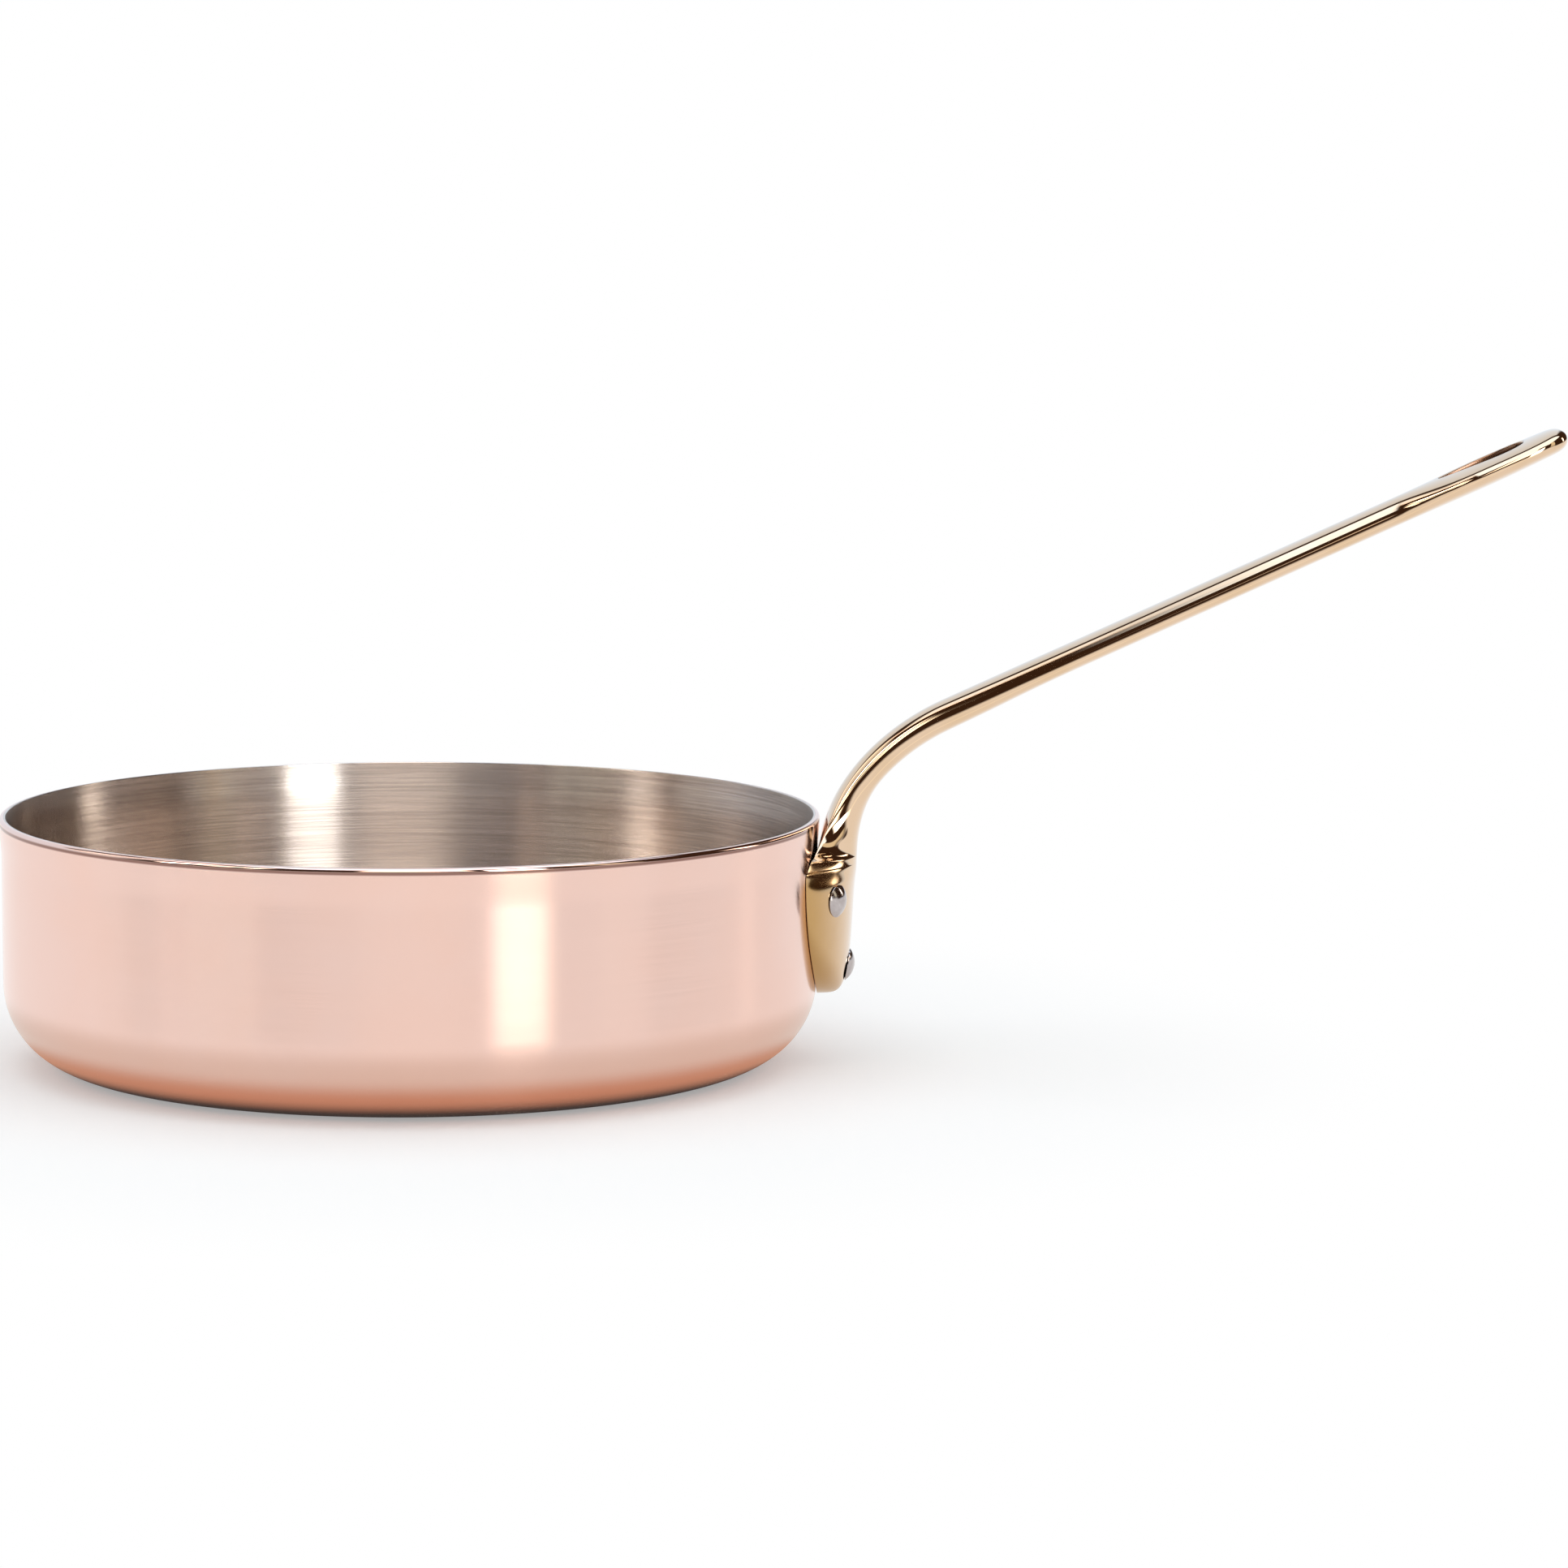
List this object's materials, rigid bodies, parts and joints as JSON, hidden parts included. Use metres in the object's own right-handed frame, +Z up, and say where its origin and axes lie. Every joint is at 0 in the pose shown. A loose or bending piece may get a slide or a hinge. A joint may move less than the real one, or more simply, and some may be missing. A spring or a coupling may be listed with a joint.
{
  "type": "saute pan",
  "caption": "Copper saute pan with a brushed steel lining and a long riveted brass handle that ends in a hanging slot.",
  "frame": {"origin": "centre of the flat base, on the surface that the pan stands on", "axes": "+X along the handle, +Z up"},
  "size_m": [0.4621, 0.2428, 0.1892],
  "materials": {
    "polished_copper": null,
    "brushed_steel": "brushed round the pan",
    "polished_brass": "cast and polished",
    "rivet_steel": "smooth domed heads"
  },
  "bodies": {
    "root": {"copper_body": "polished_copper", "steel_lining": "brushed_steel", "handle": "polished_brass", "rivet_upper_front": "rivet_steel", "rivet_upper_back": "rivet_steel", "rivet_lower": "rivet_steel"}
  },
  "joints": []
}
